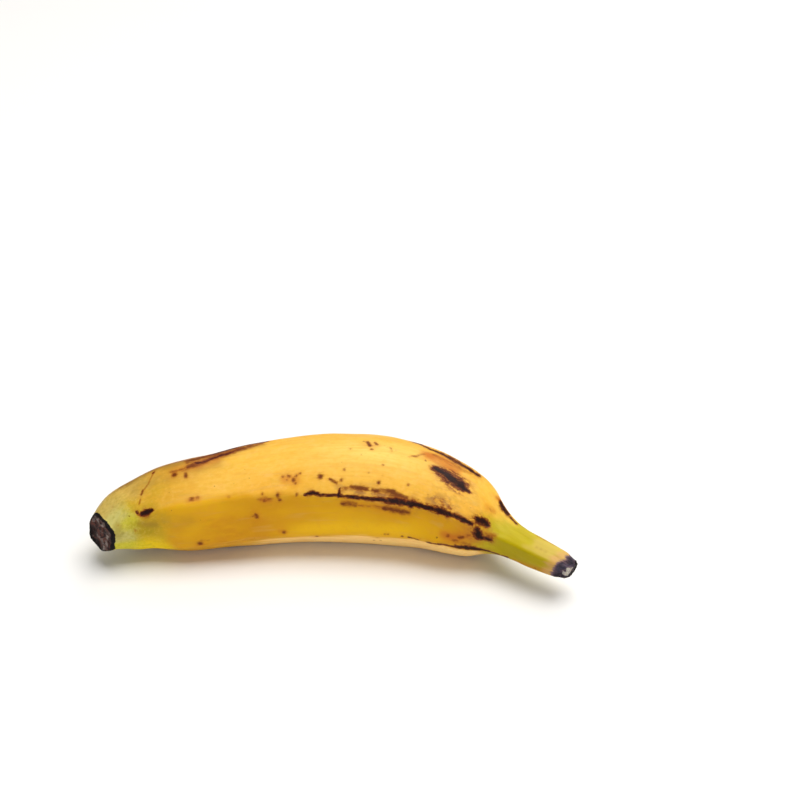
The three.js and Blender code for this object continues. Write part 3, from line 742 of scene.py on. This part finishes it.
# soft olive shade, orange stain and grey bloom
col = mix(calc("MULTIPLY", attr("shade"), ramp(mid, 0.25, 0.7, 0.35, 0.75)), col, (0.3050, 0.1620, 0.0212))
col = mix(calc("MULTIPLY", attr("stain"), ramp(mid, 0.3, 0.7, 0.6, 1.0)), col, (0.5149, 0.1384, 0.0116))
col = mix(calc("MULTIPLY", attr("bruise"), ramp(blot, 0.15, 0.9, 0.05, 0.62)), col, (0.3050, 0.1070, 0.0252))
col = mix(calc("MULTIPLY", attr("grey"), ramp(blot, 0.2, 0.8, 0.2, 0.85)), col, (0.3050, 0.1274, 0.0395))
# brown smears, specks, and black scars that fade through brown into the peel
def broken(mask, coarse, small):
    """A mark roughened by two sizes of noise, and nothing where there is no mark."""
    here = ramp(mask, 0.03, 0.30)
    n = calc("ADD", calc("MULTIPLY", calc("SUBTRACT", blot, 0.5), coarse), calc("MULTIPLY", calc("SUBTRACT", edge, 0.5), small))
    return calc("ADD", mask, calc("MULTIPLY", n, here))


col = mix(calc("MULTIPLY", attr("dirt"), ramp(blot, 0.2, 0.9, 0.10, 0.50)), col, (0.4678, 0.1384, 0.0080))
brown_v = broken(attr("brown"), 0.32, 0.30)
brown = ramp(brown_v, 0.38, 0.95)
col = mix(calc("MULTIPLY", ramp(brown_v, 0.04, 0.62), 0.62), col, (0.3231, 0.0844, 0.0052))
col = mix(calc("MULTIPLY", brown, 0.85), col, (0.1119, 0.0176, 0.0024))
line = ramp(broken(attr("line"), 0.1, 0.4), 0.20, 0.75)
col = mix(calc("MULTIPLY", line, 0.6), col, (0.3231, 0.0844, 0.0052))
speck_v = broken(attr("speck"), 0.14, 0.24)
speck = ramp(speck_v, 0.30, 0.85)
col = mix(calc("MULTIPLY", ramp(speck_v, 0.06, 0.55), 0.60), col, (0.3231, 0.0844, 0.0052))
col = mix(calc("MULTIPLY", speck, 0.92), col, (0.1170, 0.0176, 0.0000))
ink_v = broken(attr("ink"), 0.42, 0.36)
col = mix(calc("MULTIPLY", ramp(ink_v, 0.02, 0.42), 0.70), col, (0.3419, 0.0976, 0.0103))
col = mix(calc("MULTIPLY", ramp(ink_v, 0.12, 0.55), 0.82), col, (0.1221, 0.0144, 0.0024))
ink = ramp(ink_v, 0.34, 0.92)
black = mix(ramp(edge, 0.35, 0.85), (0.0052, 0.0000, 0.0000), (0.0232, 0.0024, 0.0009))
black = mix(calc("MULTIPLY", attr("grey"), 0.7), black, (0.0160, 0.0070, 0.0080))
black = mix(ramp(blot, 0.62, 0.95, 0.0, 0.3), black, (0.0160, 0.0070, 0.0080))
col = mix(calc("MULTIPLY", ink, 0.97), col, black)


# stray freckles: few and larger, many and tiny, in patches
def dots(spacing, lo, hi, keep, shift):
    m = node("ShaderNodeVectorMath", operation="MULTIPLY_ADD")
    link(FLAT, m.inputs[0])
    m.inputs[1].default_value = (1 / spacing, 1 / spacing, 1 / spacing)
    m.inputs[2].default_value = (shift, shift, shift)
    v = node("ShaderNodeTexVoronoi", feature="F1", voronoi_dimensions="3D")
    link(m.outputs[0], v.inputs["Vector"])
    v.inputs["Scale"].default_value = 1.0
    c = node("ShaderNodeSeparateColor")
    link(v.outputs["Color"], c.inputs[0])
    near = calc("ADD", v.outputs["Distance"], calc("MULTIPLY", calc("SUBTRACT", edge, 0.5), hi))
    return calc("MULTIPLY", ramp(near, hi, lo), ramp(c.outputs[0], keep, min(keep + 0.12, 1.0)))


patch = ramp(grain(24, 12, 2, 0.5, 21.3), 0.46, 0.62)
freckle = calc("MAXIMUM", dots(7.0, 0.04, 0.11, 0.72, 4.4), calc("MULTIPLY", dots(3.0, 0.05, 0.15, 0.55, 8.8), calc("MULTIPLY", patch, 0.7)))
col = mix(calc("MULTIPLY", freckle, 0.65), col, (0.1170, 0.0176, 0.0000))
# the stem browns before its dried end; the dried end and the blossom end are near black
singe = ramp(push(attr("singe"), wide(streak), 0.5), 0.25, 1.05)
col = mix(calc("MULTIPLY", singe, 0.70), col, (0.6172, 0.3325, 0.1170))
scab = wide(grain(2.6, 2.0, 4, 0.6, 41.0))
stem_v = push(push(attr("stem"), edge, 0.20), scab, 0.26)
stem = ramp(stem_v, 0.26, 0.74)
husk = mix(ramp(mid, 0.36, 0.66), (0.0116, 0.0086, 0.0116), (0.0513, 0.0452, 0.0762))
husk = mix(ramp(wide(grain(6, 5, 3, 0.5, 57.0)), 0.45, 1.0, 0.0, 0.45), husk, (0.2086, 0.1221, 0.1441))
husk = mix(ramp(fibre, 0.50, 0.72, 0.0, 0.40), husk, (0.0116, 0.0086, 0.0116))
husk = mix(calc("MULTIPLY", attr("belly"), 0.75), husk, (0.0116, 0.0086, 0.0116))
husk = mix(ramp(stem_v, 1.06, 0.50, 0.0, 0.9), husk, (0.2086, 0.1221, 0.1441))
husk = mix(ramp(push(attr("char"), scab, 0.4), 0.25, 0.75), husk, (0.0052, 0.0018, 0.0024))
cutface = mix(wide(fine), mix(scab, (0.1170, 0.0844, 0.0802), (0.3050, 0.2623, 0.2232)), (0.6308, 0.5906, 0.5149))
husk = mix(ramp(push(attr("cut"), scab, 0.8), 0.35, 0.95), husk, cutface)
col = mix(stem, col, husk)
tip = ramp(push(push(attr("tip"), edge, 0.40), scab, 0.30), 0.36, 0.66)
cork = mix(ramp(scab, 0.25, 0.70), (0.0273, 0.0137, 0.0130), (0.1221, 0.0452, 0.0343))
cork = mix(ramp(wide(grain(3.2, 3.2, 3, 0.55, 47.0)), 0.60, 0.95, 0.0, 0.45), cork, (0.3050, 0.2462, 0.2232))
cork = mix(calc("MULTIPLY", ramp(push(attr("soot"), scab, 0.5), 0.15, 0.85), 0.8), cork, (0.0048, 0.0033, 0.0040))
cork = mix(calc("MULTIPLY", ramp(push(attr("pale_spots"), scab, 0.6), 0.25, 0.95), 0.85), cork, (0.3050, 0.2462, 0.2232))
cork = mix(ramp(wide(fine), 0.60, 0.95, 0.0, 0.7), cork, (0.0273, 0.0137, 0.0130))
rim = ramp(push(push(attr("rim"), edge, 0.08), scab, 0.12), 0.85, 0.955)
cork = mix(rim, cork, (0.0048, 0.0033, 0.0040))
col = mix(tip, col, cork)

bsdf = node("ShaderNodeBsdfPrincipled")
out = node("ShaderNodeOutputMaterial")
link(bsdf.outputs[0], out.inputs[0])
link(col, bsdf.inputs["Base Color"])

# waxy satin peel; scars duller, dried ends matt
rough = ramp(mid, 0.3, 0.7, 0.36, 0.48)
rough = calc("ADD", rough, calc("MULTIPLY", ink, 0.12))
rough = calc("ADD", rough, calc("MULTIPLY", brown, 0.08))
rough = calc("ADD", rough, calc("MULTIPLY", calc("MAXIMUM", tip, stem), 0.24))
put(bsdf.inputs["Roughness"], rough)
bsdf.inputs["Specular IOR Level"].default_value = 0.12
bsdf.inputs["Subsurface Weight"].default_value = 0.10
bsdf.inputs["Subsurface Radius"].default_value = (1.0, 0.5, 0.12)
bsdf.inputs["Subsurface Scale"].default_value = 0.0025

# fine relief: pores, lengthwise fibres, rough ends
height = calc("MULTIPLY", pore, 0.10)
height = calc("ADD", height, calc("MULTIPLY", fibre, 0.16))
height = calc("ADD", height, calc("MULTIPLY", mid, 0.25))
height = calc("SUBTRACT", height, calc("MULTIPLY", ink, 0.25))
height = calc("SUBTRACT", height, calc("MULTIPLY", brown, 0.06))
height = calc("SUBTRACT", height, calc("MULTIPLY", speck, 0.12))
height = calc("ADD", height, calc("MULTIPLY", calc("MAXIMUM", tip, stem), calc("MULTIPLY", fine, 0.9)))
bump = node("ShaderNodeBump")
bump.inputs["Strength"].default_value = 0.5
bump.inputs["Distance"].default_value = 0.0004
link(height, bump.inputs["Height"])
link(bump.outputs[0], bsdf.inputs["Normal"])
mesh.materials.append(mat)

# ---------------------------------------------------------------- floor, light and camera
floor_mesh = bpy.data.meshes.new("floor")
e = 12.0
floor_mesh.from_pydata([(-e, -e, 0), (e, -e, 0), (e, e, 0), (-e, e, 0)], [], [(0, 1, 2, 3)])
floor = bpy.data.objects.new("floor", floor_mesh)
floor.location.z = -0.0001
bpy.context.scene.collection.objects.link(floor)
fmat = bpy.data.materials.new("floor_paper")
fmat.use_nodes = True
fb = fmat.node_tree.nodes["Principled BSDF"]
fb.inputs["Base Color"].default_value = (0.84, 0.835, 0.825, 1)
fb.inputs["Roughness"].default_value = 0.9
fb.inputs["Specular IOR Level"].default_value = 0.1
floor_mesh.materials.append(fmat)


def softbox(name, at, aim, size, power, color=(1, 1, 1)):
    light = bpy.data.lights.new(name, "AREA")
    light.shape = "SQUARE"
    light.size = size
    light.energy = power
    light.color = color
    o = bpy.data.objects.new(name, light)
    o.location = at
    v = np.array(aim) - np.array(at)
    o.rotation_euler = (math.atan2(math.hypot(v[0], v[1]), -v[2]), 0, math.atan2(v[1], v[0]) - math.pi / 2)
    bpy.context.scene.collection.objects.link(o)
    return o


softbox("key", (0.65, 0.10, 2.5), (0.03, 0.0, 0.0), 2.2, 78.0, (1.0, 0.985, 0.96))
softbox("back", (0.30, 1.9, 1.7), (0.03, 0.0, 0.02), 1.2, 12.0, (1.0, 0.99, 0.97))
softbox("fill", (0.3, -2.3, 0.9), (0.0, 0.0, 0.03), 1.6, 15.0, (1.0, 0.99, 0.98))

world = bpy.data.worlds.new("studio")
world.use_nodes = True
world.node_tree.nodes["Background"].inputs[0].default_value = (1.0, 0.99, 0.98, 1)
world.node_tree.nodes["Background"].inputs[1].default_value = 0.24
bpy.context.scene.world = world

# the camera looks down at 30 degrees with a long lens
camera = bpy.data.cameras.new("camera")
camera.lens = 72
camera.sensor_width = 36
camera.clip_end = 50
cam = bpy.data.objects.new("camera", camera)
TILT = math.radians(30)
cam.location = (33.21 * MM, (146.28 - 905 * math.cos(TILT)) * MM, 905 * math.sin(TILT) * MM)
cam.rotation_euler = (math.pi / 2 - TILT, 0, 0)
bpy.context.scene.collection.objects.link(cam)
bpy.context.scene.camera = cam
bpy.context.scene.view_settings.view_transform = "Standard"
bpy.context.scene.view_settings.look = "None"

bpy.context.view_layer.update()
